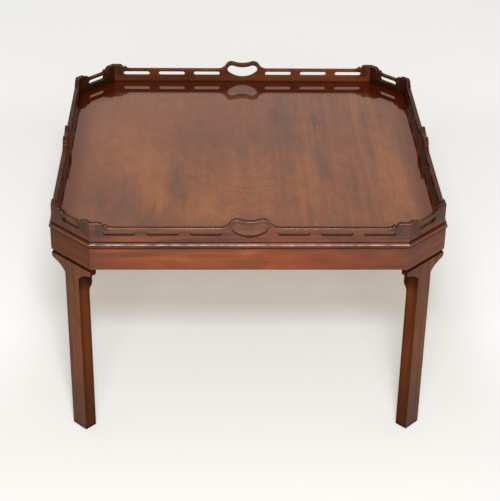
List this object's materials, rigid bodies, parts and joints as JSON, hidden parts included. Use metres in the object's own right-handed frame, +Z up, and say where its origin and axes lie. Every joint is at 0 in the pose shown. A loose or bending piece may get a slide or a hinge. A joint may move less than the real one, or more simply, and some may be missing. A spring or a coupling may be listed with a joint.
{
  "type": "tea table",
  "caption": "Low square tea table: a tray top with canted corners inside a pierced gallery with hand holes, on a plain frieze and square legs set across the corners.",
  "frame": {"origin": "on the floor under the middle of the top", "axes": "+Z up, +X to the right and -Y towards the viewer in the picture; the sides of the top lie square to X and Y"},
  "size_m": [0.76, 0.76, 0.4989],
  "materials": {
    "top": "polished mahogany",
    "gallery": "polished mahogany",
    "frieze": "polished mahogany",
    "leg": "polished mahogany",
    "secondary": "plain unpolished wood",
    "screw": "dull steel"
  },
  "bodies": {
    "root": {"bracket_back_left_to_back": "leg", "bracket_back_left_to_left": "leg", "bracket_back_right_to_back": "leg", "bracket_back_right_to_right": "leg", "bracket_front_left_to_front": "leg", "bracket_front_left_to_left": "leg", "bracket_front_right_to_front": "leg", "bracket_front_right_to_right": "leg", "corner_block_back_left": "secondary", "corner_block_back_right": "secondary", "corner_block_front_left": "secondary", "corner_block_front_right": "secondary", "corner_rail_back_left": "frieze", "corner_rail_back_right": "frieze", "corner_rail_front_left": "frieze", "corner_rail_front_right": "frieze", "edge_moulding_back": "gallery", "edge_moulding_back_left": "gallery", "edge_moulding_back_right": "gallery", "edge_moulding_front": "gallery", "edge_moulding_front_left": "gallery", "edge_moulding_front_right": "gallery", "edge_moulding_left": "gallery", "edge_moulding_right": "gallery", "frieze_rail_back": "frieze", "frieze_rail_front": "frieze", "frieze_rail_left": "frieze", "frieze_rail_right": "frieze", "gallery_back": "gallery", "gallery_back_left": "gallery", "gallery_back_right": "gallery", "gallery_front": "gallery", "gallery_front_left": "gallery", "gallery_front_right": "gallery", "gallery_left": "gallery", "gallery_right": "gallery", "leg_back_left": "leg", "leg_back_right": "leg", "leg_front_left": "leg", "leg_front_right": "leg", "leg_screws": "screw", "mitre_tongues": "secondary", "top_block_back_1": "secondary", "top_block_back_2": "secondary", "top_block_front_1": "secondary", "top_block_front_2": "secondary", "top_block_left_1": "secondary", "top_block_left_2": "secondary", "top_block_right_1": "secondary", "top_block_right_2": "secondary", "tray_panel": "top"}
  },
  "joints": []
}
